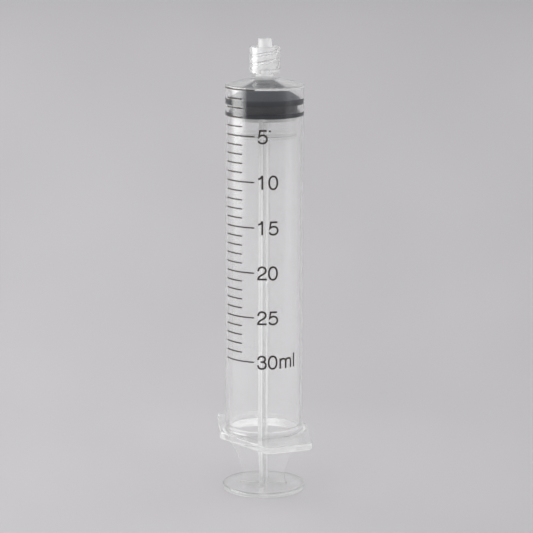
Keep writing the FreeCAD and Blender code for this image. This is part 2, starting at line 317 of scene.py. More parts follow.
@dataclass(frozen=True)
class BackdropPaper:
    """Matt studio paper in pale grey with soft, cloudy mottling, and painted shade that makes it paler on the
    left than on the right.

    The mottling grows with the distance from the viewer's foot, as a painted backdrop's does, and
    so does the painted shade from left to right.

    Attributes:
        left: Colour at the left as sRGB hex, painted lighter there as if lit from that side.
        right: Colour at the right as sRGB hex, painted darker there as shade.
        cloud: How much a cloud darkens or lightens the paper.
        foot: Distance of the viewer's foot from the origin.
        slant: Sideways share of the distance where the left and right colours are reached.
        cloud_scale: Clouds in a distance that equals the one from the viewer's foot.
        cloud_run_m: Length that, divided by the distance, gives the clouds' place in depth.
        pool: How much lighter the paper is painted at the origin, as painted light where the plastic gathers
            it.
        pool_reach: Radius of that painted pool of light.
        pressed: How much lighter the paper is painted under the disc, against its shade.
        pressed_r: Radius of that painted light.
        pressed_edge: Width of its soft edge.
        roughness: Roughness of the paper.
        gloss: Strength of its mirroring, where 0.5 is that of a common plastic.
    """

    left: str = "#c2c0c2"
    right: str = "#b9b7b9"
    cloud: float = 0.06
    foot: float = 623.8
    slant: float = 0.13
    cloud_scale: float = 14.0
    cloud_run_m: float = 0.2
    pool: float = 0.09
    pool_reach: float = 110.0
    pressed: float = 0.3
    pressed_r: float = 11.9
    pressed_edge: float = 0.9
    roughness: float = 0.9
    gloss: float = 0.1

    def material(self) -> bpy.types.Material:
        """Build the material and return it."""
        material, tree, place = new_material("mottled_grey_paper")
        split = add_node(tree, "ShaderNodeSeparateXYZ", {"Vector": place})
        depth = add_node(tree, "ShaderNodeMath", {0: split.outputs["Y"], 1: self.foot * MM}, operation="ADD")
        depth = add_node(tree, "ShaderNodeMath", {0: depth, 1: MM}, operation="MAXIMUM")
        aside = add_node(tree, "ShaderNodeMath", {0: split.outputs["X"], 1: depth}, operation="DIVIDE")
        down = add_node(tree, "ShaderNodeMath", {0: self.cloud_run_m, 1: depth}, operation="DIVIDE")
        spread = add_node(tree, "ShaderNodeCombineXYZ", {"X": aside, "Y": down})
        clouds = add_node(tree, "ShaderNodeTexNoise", {
            "Vector": spread, "Scale": self.cloud_scale, "Detail": 2.0, "Roughness": 0.4})
        mottle_and_painted_light = add_node(tree, "ShaderNodeMapRange", {
            "Value": clouds, "To Min": 1 - self.cloud, "To Max": 1 + self.cloud})
        away = add_node(tree, "ShaderNodeVectorMath", {0: place}, operation="LENGTH")
        # Painted light: the paper is painted lighter in a pool round the origin and in a patch under the
        # disc, against the shade there
        for lighter, inner, outer in ((self.pool, 0.0, self.pool_reach),
                                      (self.pressed, self.pressed_r - self.pressed_edge, self.pressed_r)):
            painted_light_patch = add_node(tree, "ShaderNodeMapRange", {
                "Value": away, "From Min": inner * MM, "From Max": outer * MM,
                "To Min": 1 + lighter, "To Max": 1.0})
            mottle_and_painted_light = add_node(tree, "ShaderNodeMath", {0: mottle_and_painted_light, 1: painted_light_patch}, operation="MULTIPLY")
        # Painted shade: the paper is painted paler on the left and darker on the right, as the light falls
        share = add_node(tree, "ShaderNodeMapRange", {
            "Value": aside, "From Min": -self.slant, "From Max": self.slant})
        shade = add_node(tree, "ShaderNodeMix", {
            "Factor": share, "A": linear(self.left), "B": linear(self.right)},
            data_type="RGBA")
        colour = add_node(tree, "ShaderNodeVectorMath", {
            0: shade, 1: mottle_and_painted_light}, operation="MULTIPLY")
        paper = add_node(tree, "ShaderNodeBsdfPrincipled", {
            "Base Color": colour, "Roughness": self.roughness, "Specular IOR Level": self.gloss})
        add_node(tree, "ShaderNodeOutputMaterial", {"Surface": paper})
        return material


def cubic_weights(share: float) -> tuple[float, float, float, float]:
    """How much each of a cubic curve's four poles counts at a share of the way along it."""
    rest = 1 - share
    return rest**3, 3 * share * rest**2, 3 * share**2 * rest, share**3


def rounded(corners: list[tuple[float, float, float]], steps: int = 6) -> list[Point]:
    """Round the corners of an open outline.

    Args:
        corners: Across, up and fillet radius of each corner. The two ends keep their places.
        steps: Chords in each fillet.

    Returns:
        The outline's points.
    """
    points = [corners[0][:2]]
    for before, here, after in zip(corners, corners[1:], corners[2:]):
        corner = np.array(here[:2])
        radius = here[2]
        if radius == 0:
            points.append(tuple(corner))
            continue
        arriving = corner - np.array(before[:2])
        leaving = np.array(after[:2]) - corner
        arriving /= np.linalg.norm(arriving)
        leaving /= np.linalg.norm(leaving)
        turn = math.acos(float(np.clip(arriving @ leaving, -1, 1)))
        setback = radius * math.tan(turn / 2)
        inward = (leaving - arriving) / np.linalg.norm(leaving - arriving)
        centre = corner + inward * radius / math.cos(turn / 2)
        start = corner - arriving * setback - centre
        end = corner + leaving * setback - centre
        for step in range(steps + 1):
            share = step / steps
            spoke = (math.sin((1 - share) * turn) * start + math.sin(share * turn) * end) / math.sin(turn)
            points.append(tuple(centre + spoke))
    points.append(corners[-1][:2])
    return points


def smoothed(piece: bpy.types.Object, flat_faces: bool = True, sharp_deg: float = 40.0) -> bpy.types.Object:
    """Shade a piece smooth, with its sharp edges kept sharp.

    Args:
        piece: The piece.
        flat_faces: Whether its flat faces are kept flat right up to their rounded edges.
        sharp_deg: Angle between two faces from which the edge between them is sharp.

    Returns:
        The same piece.
    """
    piece.data.shade_smooth()
    piece.data.set_sharp_from_angle(angle=math.radians(sharp_deg))
    if flat_faces:
        weighting = piece.modifiers.new("flat_faces_stay_flat", "WEIGHTED_NORMAL")
        weighting.keep_sharp = True
    return piece


def new_piece(name: str, mesh: bpy.types.Mesh) -> bpy.types.Object:
    """Link a mesh into the scene.

    Args:
        name: Name of the piece.
        mesh: Its mesh.

    Returns:
        The piece.
    """
    piece = bpy.data.objects.new(name, mesh)
    bpy.context.scene.collection.objects.link(piece)
    return piece


def finished(name: str, form: bmesh.types.BMesh) -> bpy.types.Object:
    """Turn a form that is ready into a piece.

    Args:
        name: Name of the piece.
        form: The form, which is freed.

    Returns:
        The piece.
    """
    mesh = bpy.data.meshes.new(name)
    form.to_mesh(mesh)
    form.free()
    return new_piece(name, mesh)


def gathered(name: str, parts: list[bpy.types.Object]) -> bpy.types.Object:
    """Put separate solids together as one piece.

    Args:
        name: Name of the piece.
        parts: The solids, which are used up.

    Returns:
        The piece.
    """
    form = bmesh.new()
    for part in parts:
        form.from_mesh(part.data)
        bpy.data.objects.remove(part)
    return finished(name, form)


def skinned(name: str, rings: list[np.ndarray], closed: bool) -> bpy.types.Object:
    """Stretch a skin over rings of equally many points.

    Args:
        name: Name of the piece.
        rings: Points of each ring in millimetres. A ring of one point is a pole.
        closed: Whether the last ring is joined to the first, as on a tube with a wall.

    Returns:
        The piece.
    """
    form = bmesh.new()
    rows = [[form.verts.new(Vector(point) * MM) for point in ring] for ring in rings]
    pairs = list(zip(rows, rows[1:]))
    if closed:
        pairs.append((rows[-1], rows[0]))
    for low, high in pairs:
        count = max(len(low), len(high))
        for i in range(count):
            j = (i + 1) % count
            corners = [low[i % len(low)], low[j % len(low)], high[j % len(high)], high[i % len(high)]]
            form.faces.new(list(dict.fromkeys(corners)))
    if not closed:
        for row in (rows[0], rows[-1]):
            if len(row) > 1:
                form.faces.new(row)
    bmesh.ops.recalc_face_normals(form, faces=form.faces)
    return finished(name, form)


def circle(radius: float, z: float, segments: int) -> np.ndarray:
    """Points of a level circle about the axis.

    Args:
        radius: Its radius. If it is nought, the circle is its centre alone.
        z: Its height.
        segments: Chords in the circle.

    Returns:
        The points.
    """
    if radius == 0:
        return np.array([[0.0, 0.0, z]])
    angles = np.linspace(0, 2 * math.pi, segments, endpoint=False)
    return np.stack([radius * np.cos(angles), radius * np.sin(angles), np.full(segments, z)], axis=1)


def turned(name: str, outline: list[Point], segments: int) -> bpy.types.Object:
    """Turn an outline of radius and height about the axis into a piece and return it."""
    return skinned(name, [circle(radius, z, segments) for radius, z in outline], closed=False)


def united(pieces: list[bpy.types.Object]) -> bpy.types.Object:
    """Weld overlapping solids into one.

    Args:
        pieces: Closed solids. The first one is kept and gets the form of them all.

    Returns:
        The first piece.
    """
    whole = pieces[0]
    for other in pieces[1:]:
        weld = whole.modifiers.new("weld", "BOOLEAN")
        weld.operation = "UNION"
        weld.solver = "EXACT"
        weld.object = other
        mesh = bpy.data.meshes.new_from_object(whole.evaluated_get(bpy.context.evaluated_depsgraph_get()))
        whole.modifiers.clear()
        whole.data = mesh
        bpy.data.objects.remove(other)
    return whole


def box_mm(node: str) -> tuple[Vector, Vector]:
    """Lowest and highest corner of a node of the frame, in millimetres."""
    low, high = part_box(node)
    return low / MM, high / MM


def dressed(piece: bpy.types.Object, finish: MouldedPolypropylene | MouldedRubber | PadPrintedInk, body: Body,
            node: str | None = None) -> bpy.types.Object:
    """Give a piece its finish and its place in the frame.

    Args:
        piece: The piece.
        finish: What it is made of.
        body: Body that it rides on.
        node: Node of the frame that it stands for, if any.

    Returns:
        The same piece.
    """
    piece.data.materials.append(finish.material())
    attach(piece, body.value)
    if node:
        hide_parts(node)
    return piece


@dataclass
class FingerFlange:
    """Outline of the finger flange: a long hexagon with rounded corners and bowed ends."""

    half_length: float = 21.2
    end_half_width: float = 7.6
    mid_half_width: float = 14.3
    end_bow: float = 0.5
    corner_r: float = 2.4
    edge_r: float = 0.35
    thickness: float = 2.15
    turn_deg: float = -69.0
    bow_steps: int = 8
    halvings: int = 40

    def corners(self) -> np.ndarray:
        """Corners of the flange before they are rounded, right round it."""
        shares = np.linspace(-1, 1, self.bow_steps + 1)
        bow = self.half_length + self.end_bow * (1 - shares**2)
        end = np.stack([bow, shares * self.end_half_width], axis=1)
        half = np.vstack([end, [[0.0, self.mid_half_width]]])
        return np.vstack([half, -half])

    def radii(self, angles: np.ndarray, inset: float) -> np.ndarray:
        """Distance from the axis to the rounded outline.

        Args:
            angles: Directions from the axis in radians.
            inset: How far inside the flange's outer outline the wanted one lies.

        Returns:
            The distance in each direction.
        """
        starts = self.corners()
        along = np.roll(starts, -1, axis=0) - starts
        along /= np.linalg.norm(along, axis=1)[:, None]
        outward = np.stack([along[:, 1], -along[:, 0]], axis=1)
        offsets = np.einsum("ij,ij->i", outward, starts) - self.corner_r
        before = np.roll(outward, 1, axis=0)
        before_offsets = np.roll(offsets, 1)
        cross = before[:, 0] * outward[:, 1] - before[:, 1] * outward[:, 0]
        inner = np.stack([
            (before_offsets * outward[:, 1] - offsets * before[:, 1]) / cross,
            (before[:, 0] * offsets - outward[:, 0] * before_offsets) / cross], axis=1)
        ends = np.roll(inner, -1, axis=0)
        turned_angles = angles - math.radians(self.turn_deg)
        rays = np.stack([np.cos(turned_angles), np.sin(turned_angles)], axis=1)
        low = np.zeros(len(angles))
        high = np.full(len(angles), 2 * self.half_length)
        for _ in range(self.halvings):
            middle = (low + high) / 2
            points = rays * middle[:, None]
            edges = ends - inner
            shares = np.einsum("pij,ij->pi", points[:, None] - inner[None], edges)
            shares = np.clip(shares / np.einsum("ij,ij->i", edges, edges), 0, 1)
            nearest = inner[None] + shares[:, :, None] * edges[None]
            away = np.linalg.norm(points[:, None] - nearest, axis=2).min(axis=1)
            inside = (points @ outward.T - offsets).max(axis=1) < 0
            away = np.where(inside, -away, away)
            beyond = away > self.corner_r - inset
            high = np.where(beyond, middle, high)
            low = np.where(beyond, low, middle)
        return (low + high) / 2


@dataclass
class LockThread:
    """Double start thread inside the lock collar: a tapered ridge on each of two helices."""

    root_r: float = 4.0
    crest_r: float = 3.5
    starts: int = 2
    pitch: float = 2.5
    root_width: float = 1.1
    crest_width: float = 0.5
    end_clearance: float = 0.5
    runout_deg: float = 35.0

    def radii(self, angles: np.ndarray, z: float, floor_z: float, top_z: float) -> np.ndarray:
        """Radius of the collar's inner wall at one height, in each direction.

        Args:
            angles: Directions from the axis in radians.
            z: Height of the ring.
            floor_z: Height of the collar's floor.
            top_z: Height of the collar's rim.

        Returns:
            The radius in each direction.
        """
        lead = self.pitch * self.starts
        low_z = floor_z + self.end_clearance + self.root_width / 2
        high_z = top_z - self.end_clearance - self.root_width / 2
        height = np.zeros(len(angles))
        for start in range(self.starts):
            turn = angles / (2 * math.pi) + start / self.starts
            # More laps than the collar has room for, so that the ridge reaches both of its ends
            for lap in range(-2, 4):
                centre = low_z + (turn + lap) * lead
                runout = self.runout_deg / 360 * lead
                share = np.clip(np.minimum(centre - low_z, high_z - centre) / runout + 1, 0, 1)
                away = np.abs(z - centre)
                flank = (self.root_width / 2 - away) / (self.root_width - self.crest_width) * 2
                height = np.maximum(height, np.clip(flank, 0, 1) * share)
        return self.root_r - height * (self.root_r - self.crest_r)


@dataclass
class BarrelMoulding:
    """The barrel: tube, finger flange, sloping roof, neck, male luer cone and threaded collar."""

    finish: MouldedPolypropylene
    node: str = "barrel"
    bore_r: float = 10.8
    wall: float = 1.05
    mouth_chamfer: float = 0.4
    bead_stands_in: float = 0.25
    bead_width: float = 1.4
    bead_from_mouth: float = 3.0
    cove_r: float = 1.1
    cove_steps: int = 8
    roof_slope_deg: float = 15.2
    shoulder_r: float = 0.6
    neck_r: float = 2.66
    neck_height: float = 0.95
    neck_fillet_r: float = 0.3
    collar_r: float = 4.58
    collar_height: float = 7.85
    collar_floor: float = 1.1
    edge_r: float = 0.2
    tip_r: float = 2.0
    tip_taper: float = 0.06
    tip_above_collar: float = 2.4
    nozzle_bore_r: float = 1.1
    thread_ring_mm: float = 0.09
    segments: int = 360
    flange: FingerFlange = field(default_factory=FingerFlange)
    thread: LockThread = field(default_factory=LockThread)

    def __post_init__(self) -> None:
        """Work out the heights from the frame's box and the sizes."""
        low, high = box_mm(self.node)
        self.mouth_z = low.z
        self.tip_z = high.z
        self.outer_r = self.bore_r + self.wall
        self.flange_top_z = self.mouth_z + self.flange.thickness
        self.rise = math.tan(math.radians(self.roof_slope_deg))
        self.roof_drop = self.wall / math.cos(math.radians(self.roof_slope_deg))
        self.collar_top_z = self.tip_z - self.tip_above_collar
        self.collar_z = self.collar_top_z - self.collar_height
        self.collar_floor_z = self.collar_z + self.collar_floor
        self.neck_z = self.collar_z - self.neck_height
        self.shoulder_z = self.neck_z - (self.outer_r - self.neck_r) * self.rise
        self.angles = np.linspace(0, 2 * math.pi, self.segments, endpoint=False)

    def ring(self, radii: np.ndarray, z: float) -> np.ndarray:
        """Points of a level ring with a radius for each direction."""
        return np.stack([radii * np.cos(self.angles), radii * np.sin(self.angles),
                         np.full(self.segments, z)], axis=1)

    def circles(self, outline: list[Point]) -> list[np.ndarray]:
        """A level circle for each radius and height of an outline."""
        return [circle(radius, z, self.segments) for radius, z in outline]

    def flange_rings(self, steps: int = 5) -> list[np.ndarray]:
        """Run rings from the flange's underside, round its edge and in over its top.

        Args:
            steps: Chords in each rounded edge.

        Returns:
            The rings.
        """
        edge_r = self.flange.edge_r
        rings = []
        for base, sign in ((self.mouth_z, 1), (self.flange_top_z, -1)):
            arc = []
            for step in range(steps + 1):
                angle = math.pi / 2 * step / steps
                inset = edge_r * (1 - math.sin(angle))
                radii = self.flange.radii(self.angles, inset)
                arc.append(self.ring(radii, base + sign * edge_r * (1 - math.cos(angle))))
            rings += arc if sign > 0 else arc[::-1]
        return rings

    def roof_z(self, radius: float) -> float:
        """Height of the roof's inner face at a radius."""
        return self.shoulder_z + (self.outer_r - radius) * self.rise - self.roof_drop

    def cone_r(self, z: float) -> float:
        """Radius of the male luer cone at a height."""
        return self.tip_r + (self.tip_z - z) * self.tip_taper / 2

    def outer_rings(self) -> list[np.ndarray]:
        """Rings from the cove at the tube's foot up to the collar's rim."""
        centre_r = self.outer_r + self.cove_r
        centre_z = self.flange_top_z + self.cove_r
        cove = [(centre_r - self.cove_r * math.sin(a), centre_z - self.cove_r * math.cos(a))
                for a in np.linspace(0, math.pi / 2, self.cove_steps + 1)]
        upper = rounded([
            (self.outer_r, centre_z + self.cove_r, 0),
            (self.outer_r, self.shoulder_z, self.shoulder_r),
            (self.neck_r, self.neck_z, self.neck_fillet_r),
            (self.neck_r, self.collar_z, self.edge_r),
            (self.collar_r, self.collar_z, self.edge_r),
            (self.collar_r, self.collar_top_z, self.edge_r),
            (self.thread.root_r, self.collar_top_z, self.edge_r),
            (self.thread.root_r, self.collar_top_z - 2 * self.edge_r, 0),
        ])
        return self.circles(cove + upper)

    def thread_rings(self) -> list[np.ndarray]:
        """Rings down the collar's inner wall, with both starts of the thread."""
        high = self.collar_top_z - 2 * self.edge_r
        low = self.collar_floor_z + 2 * self.edge_r
        count = round((high - low) / self.thread_ring_mm)
        heights = np.linspace(high, low, count + 1)[1:]
        return [self.ring(self.thread.radii(self.angles, z, self.collar_floor_z, self.collar_top_z), z)
                for z in heights]

    def inner_rings(self) -> list[np.ndarray]:
        """Rings from the collar's floor over the cone and down inside to the mouth."""
        bead_r = self.bore_r - self.bead_stands_in
        bead_z = self.mouth_z + self.bead_from_mouth
        return self.circles(rounded([
            (self.thread.root_r, self.collar_floor_z + 2 * self.edge_r, 0),
            (self.thread.root_r, self.collar_floor_z, self.edge_r),
            (self.cone_r(self.collar_floor_z), self.collar_floor_z, self.edge_r),
            (self.tip_r, self.tip_z, self.edge_r),
            (self.nozzle_bore_r, self.tip_z, self.edge_r / 2),
            (self.nozzle_bore_r, self.roof_z(self.nozzle_bore_r), self.edge_r),
            (self.bore_r, self.roof_z(self.bore_r), self.edge_r),
            (self.bore_r, bead_z + self.bead_width, 0),
            (bead_r, bead_z + self.bead_width / 2, self.bead_width / 2),
            (self.bore_r, bead_z, 0),
            (self.bore_r, self.mouth_z + self.mouth_chamfer, 0),
            (self.bore_r + self.mouth_chamfer, self.mouth_z, 0),
        ]))

    def build(self) -> bpy.types.Object:
        """Build the barrel in its place, dress it and return it."""
        rings = self.flange_rings() + self.outer_rings() + self.thread_rings() + self.inner_rings()
        piece = smoothed(skinned("clear_barrel", rings, closed=True))
        return dressed(piece, self.finish, Body.BARREL, self.node)


@dataclass
class RubberStopper:
    """The rubber stopper: two sealing ribs, a conical crown and a socket for the rod's head."""

    finish: MouldedRubber
    node: str = "stopper"
    lower_rib_height: float = 1.4
    groove_height: float = 2.1
    upper_rib_height: float = 1.8
    groove_depth: float = 0.95
    rib_edge_r: float = 0.15
    crown_top_r: float = 1.6
    crown_edge_r: float = 0.5
    socket_lip_r: float = 3.9
    socket_lip_height: float = 1.5
    socket_r: float = 5.4
    socket_height: float = 2.6
    socket_top_r: float = 3.0
    socket_crown_height: float = 1.6
    squeeze: float = 0.05
    segments: int = 256

    def build(self) -> bpy.types.Object:
        """Build the stopper in its place, dress it and return it."""
        low, high = box_mm(self.node)
        outer_r = high.x + self.squeeze
        groove_r = outer_r - self.groove_depth
        groove_z = low.z + self.lower_rib_height
        upper_rib_z = groove_z + self.groove_height
        crown_z = upper_rib_z + self.upper_rib_height
        socket_z = low.z + self.socket_lip_height
        socket_top_z = socket_z + self.socket_height
        ceiling_z = socket_top_z + self.socket_crown_height
        edge = self.rib_edge_r
        outline = rounded([
            (0, ceiling_z, 0),
            (self.socket_top_r, ceiling_z, edge),
            (self.socket_r, socket_top_z, edge),
            (self.socket_r, socket_z, edge),
            (self.socket_lip_r, socket_z, edge),
            (self.socket_lip_r, low.z, edge),
            (outer_r, low.z, edge),
            (outer_r, groove_z, edge),
            (groove_r, groove_z, edge),
            (groove_r, upper_rib_z, edge),
            (outer_r, upper_rib_z, edge),
            (outer_r, crown_z, edge),
            (self.crown_top_r, high.z, self.crown_edge_r),
            (0, high.z, 0),
        ])
        piece = smoothed(turned("rubber_stopper", outline, self.segments))
        return dressed(piece, self.finish, Body.STOPPER, self.node)


@dataclass
class PlungerRod:
    """The plunger rod: four ribs between the thumb disc and the disc under the stopper."""

    finish: MouldedPolypropylene
    node: str = "plunger_rod"
    disc_thickness: float = 1.5
    disc_edge_r: float = 0.5
    rib_thickness: float = 1.45
    rib_edge_r: float = 0.22
    core_fillet_r: float = 0.55
    least_core_fillet_r: float = 0.05
    foot_fillet_r: float = 0.4
    foot_steps: int = 5
    flare_steps: int = 25
    turn_deg: float = -6.0
    foot_r: float = 6.9
    waist_r: float = 6.4
    waist_height: float = 3.0
    flare_low_r: float = 6.85
    flare_low_height: float = 5.2
    flare_high_r: float = 9.0
    flare_high_height: float = 10.6
    guide_r: float = 10.15
    guide_height: float = 12.6
    top_r: float = 9.65
    support_thickness: float = 1.0
    guide_disc_drop: float = 4.4
    guide_disc_thickness: float = 0.8
    play: float = 0.1
    socket: RubberStopper = field(default_factory=lambda: RubberStopper(MouldedRubber()))
    segments: int = 192

    def rib_r(self, height: float, top: float) -> float:
        """Radius of a rib's outer edge.

        Args:
            height: Height above the thumb disc.
            top: Height of the ribs' upper end.

        Returns:
            The radius.
        """
        if height <= self.flare_low_height:
            heights = np.array([0.0, self.waist_height, self.flare_low_height])
            through = np.polyfit(heights, [self.foot_r, self.waist_r, self.flare_low_r], 2)
            return float(np.polyval(through, height))
        slope = (self.flare_high_r - self.flare_low_r) / (self.flare_high_height - self.flare_low_height)
        if height <= self.flare_high_height:
            return self.flare_low_r + slope * (height - self.flare_low_height)
        if height <= self.guide_height:
            share = (height - self.flare_high_height) / (self.guide_height - self.flare_high_height)
            run = (self.guide_height - self.flare_high_height) / 3
            poles = (self.flare_high_r, self.flare_high_r + slope * run, self.guide_r, self.guide_r)
            return sum(pole * weight for pole, weight in zip(poles, cubic_weights(share)))
        share = (height - self.guide_height) / (top - self.guide_height)
        return self.guide_r + (self.top_r - self.guide_r) * share

    def cross(self, rib_r: float, z: float, grown: float, steps: int = 4) -> np.ndarray:
        """Outline of the four ribs at one height.

        Args:
            rib_r: Radius of the ribs' outer edges.
            z: Height of the outline.
            grown: How far the foot's fillet swells the outline.
            steps: Chords in each rounded corner.

        Returns:
            The outline's points.
        """
        half = self.rib_thickness / 2
        points = []
        quarter = np.linspace(0, math.pi / 2, steps + 1)
        for turn in range(4):
            spin = math.radians(self.turn_deg + 90 * turn)
            local = []
            for angle in quarter:
                reach = self.rib_edge_r + grown
                local.append((rib_r - self.rib_edge_r + reach * math.cos(angle),
                              half - self.rib_edge_r + reach * math.sin(angle)))
            centre = half + self.core_fillet_r
            for angle in quarter:
                reach = self.core_fillet_r - grown
                local.append((centre - reach * math.sin(angle), centre - reach * math.cos(angle)))
            for angle in quarter:
                reach = self.rib_edge_r + grown
                local.append((half - self.rib_edge_r + reach * math.cos(angle),
                              rib_r - self.rib_edge_r + reach * math.sin(angle)))
            for x, y in local:
                points.append((x * math.cos(spin) - y * math.sin(spin),
                               x * math.sin(spin) + y * math.cos(spin), z))
        return np.array(points)

    def ribs(self, low_z: float, top_z: float) -> bpy.types.Object:
        """The four ribs as one solid, with its ends sunk into the discs.

        Args:
            low_z: Height of the thumb disc's upper face.
            top_z: Height of the support disc's lower face.

        Returns:
            The solid.
        """
        top = top_z - low_z
        sunk = self.support_thickness / 2
        foot = [self.foot_fillet_r * (1 - math.cos(a))
                for a in np.linspace(0, math.pi / 2, self.foot_steps + 1)]
        heights = [-self.disc_thickness / 2] + foot
        heights += list(np.linspace(foot[-1], self.guide_height, self.flare_steps + 1)[1:])
        heights += [top, top + sunk]
        rings = []
        for height in heights:
            inside = min(max(height, 0.0), self.foot_fillet_r)
            depth = self.foot_fillet_r - inside
            grown = self.foot_fillet_r - math.sqrt(self.foot_fillet_r**2 - depth**2)
            radius = self.rib_r(min(max(height, 0.0), top), top)
            grown = min(grown, self.core_fillet_r - self.least_core_fillet_r)
            rings.append(self.cross(radius, low_z + height, grown))
        return skinned("rod_ribs", rings, closed=False)

    def disc(self, name: str, radius: float, low_z: float, high_z: float, edge_r: float) -> bpy.types.Object:
        """A level disc with rounded rims.

        Args:
            name: Name of the disc.
            radius: Its radius.
            low_z: Height of its lower face.
            high_z: Height of its upper face.
            edge_r: Radius of its rims.

        Returns:
            The disc.
        """
        outline = rounded([(0, low_z, 0), (radius, low_z, edge_r), (radius, high_z, edge_r), (0, high_z, 0)])
        return turned(name, outline, self.segments)

    def head(self, support_z: float) -> bpy.types.Object:
        """Support disc with the stem and head that hold the stopper.

        Args:
            support_z: Height of the support disc's upper face.

        Returns:
            The solid.
        """
        socket = self.socket
        stopper_z = support_z + self.play
        head_z = stopper_z + socket.socket_lip_height + self.play
        barb_z = head_z + socket.socket_height - 2 * self.play
        stem_r = socket.socket_lip_r - self.play
        head_r = socket.socket_r - self.play
        crown_r = socket.socket_top_r - self.play
        crown_z = barb_z + socket.socket_crown_height - self.play
        edge = self.rib_edge_r
        return turned("rod_head", rounded([
            (0, support_z - self.support_thickness, 0),
            (self.top_r, support_z - self.support_thickness, edge),
            (self.top_r, support_z, edge),
            (stem_r, support_z, edge),
            (stem_r, head_z, edge),
            (head_r, head_z, edge),
            (head_r, barb_z, edge),
            (crown_r, crown_z, edge),
            (0, crown_z, 0),
        ]), self.segments)

    def build(self) -> bpy.types.Object:
        """Build the rod in its place, dress it and return it."""
        low, high = box_mm(self.node)
        stopper_low = box_mm(self.socket.node)[0]
        disc_top_z = low.z + self.disc_thickness
        support_z = stopper_low.z - self.play
        support_low_z = support_z - self.support_thickness
        guide_z = support_low_z - self.guide_disc_drop
        piece = united([
            self.disc("plunger", high.x, low.z, disc_top_z, self.disc_edge_r),
            self.ribs(disc_top_z, support_low_z),
            self.disc("guide_disc", self.top_r, guide_z - self.guide_disc_thickness, guide_z,
                      self.rib_edge_r),
            self.head(support_z),
        ])
        piece.name = "ribbed_plunger_rod"
        return dressed(smoothed(piece), self.finish, Body.ROD, self.node)


def drawn(start: Point, *runs: tuple[float, ...], steps: int = 10) -> list[Point]:
    """Draw a line with a pen, from run to run.

    Args:
        start: Where the pen is set down.
        *runs: Two numbers draw a straight run to a point. Six draw a cubic curve: they are the two
            points that pull it, and its end.
        steps: Chords in each curve.

    Returns:
        The line's points.
    """
    line = [start]
    for run in runs:
        poles = np.array([*line[-1], *run]).reshape(-1, 2)
        if len(poles) == 2:
            line.append(run)
            continue
        for share in np.linspace(0, 1, steps + 1)[1:]:
            line.append(tuple(sum(pole * weight for pole, weight in zip(poles, cubic_weights(share)))))
    return line


@dataclass(frozen=True)
class Glyph:
    """One printed character, as the middle lines of its strokes.

    Attributes:
        advance: Width that the character takes, in ems.
        strokes: Middle line of each stroke, in ems from the left end of the base line.
        ring: Whether the one stroke closes on itself.
    """

    advance: float
    strokes: tuple[list[Point], ...]
    ring: bool = False


def oval(centre: Point, half_width: float, half_height: float, squareness: float) -> list[Point]:
    """Draw an upright oval.

    Args:
        centre: Its middle.
        half_width: Half of its width.
        half_height: Half of its height.
        squareness: 2 for an ellipse, and more for a squarer form.

    Returns:
        The oval's points, with the first one not repeated at the end.
    """
    angles = np.linspace(0, 2 * math.pi, 48, endpoint=False)
    across = np.sign(np.cos(angles)) * np.abs(np.cos(angles))**(2 / squareness)
    up = np.sign(np.sin(angles)) * np.abs(np.sin(angles))**(2 / squareness)
    return [(centre[0] + half_width * x, centre[1] + half_height * y) for x, y in zip(across, up)]


def arch(x: float) -> list[Point]:
    """Draw one arch of the m, with its right leg, from where it leaves the stem at x."""
    right = x + 0.310
    return drawn((x, 0.340), (x + 0.005, 0.440, x + 0.068, 0.496, x + 0.155, 0.496),
                 (x + 0.258, 0.496, right, 0.450, right, 0.340), (right, 0.0))


GLYPHS = {
    "0": Glyph(0.556, (oval((0.262, 0.342), 0.204, 0.318, 2.25),), ring=True),
    "1": Glyph(0.556, (
        drawn((0.276, 0.703), (0.276, 0.0)),
        drawn((0.065, 0.530), (0.175, 0.532, 0.235, 0.580, 0.258, 0.690)),
    )),
    "2": Glyph(0.556, (
        drawn((0.084, 0.455),
              (0.084, 0.580, 0.150, 0.660, 0.272, 0.660), (0.385, 0.660, 0.458, 0.590, 0.458, 0.492),
              (0.458, 0.400, 0.395, 0.345, 0.300, 0.290), (0.165, 0.212, 0.083, 0.160, 0.074, 0.042),
              (0.507, 0.042)),
    )),
    "3": Glyph(0.556, (
        drawn((0.084, 0.475),
              (0.086, 0.590, 0.150, 0.660, 0.265, 0.660), (0.375, 0.660, 0.436, 0.602, 0.436, 0.520),
              (0.436, 0.425, 0.365, 0.376, 0.270, 0.376), (0.205, 0.376)),
        drawn((0.255, 0.376),
              (0.400, 0.380, 0.476, 0.310, 0.476, 0.212), (0.476, 0.098, 0.395, 0.024, 0.272, 0.024),
              (0.150, 0.024, 0.082, 0.090, 0.078, 0.212)),
    )),
    "5": Glyph(0.556, (
        drawn((0.476, 0.645), (0.148, 0.645), (0.098, 0.335),
              (0.150, 0.395, 0.208, 0.424, 0.280, 0.424), (0.410, 0.424, 0.496, 0.345, 0.496, 0.230),
              (0.496, 0.100, 0.404, 0.024, 0.272, 0.024), (0.168, 0.024, 0.100, 0.062, 0.080, 0.150)),
    )),
    "m": Glyph(0.833, (drawn((0.107, 0.524), (0.107, 0.0)), arch(0.107), arch(0.417))),
    "l": Glyph(0.222, (drawn((0.111, 0.718), (0.111, 0.0)),)),
}


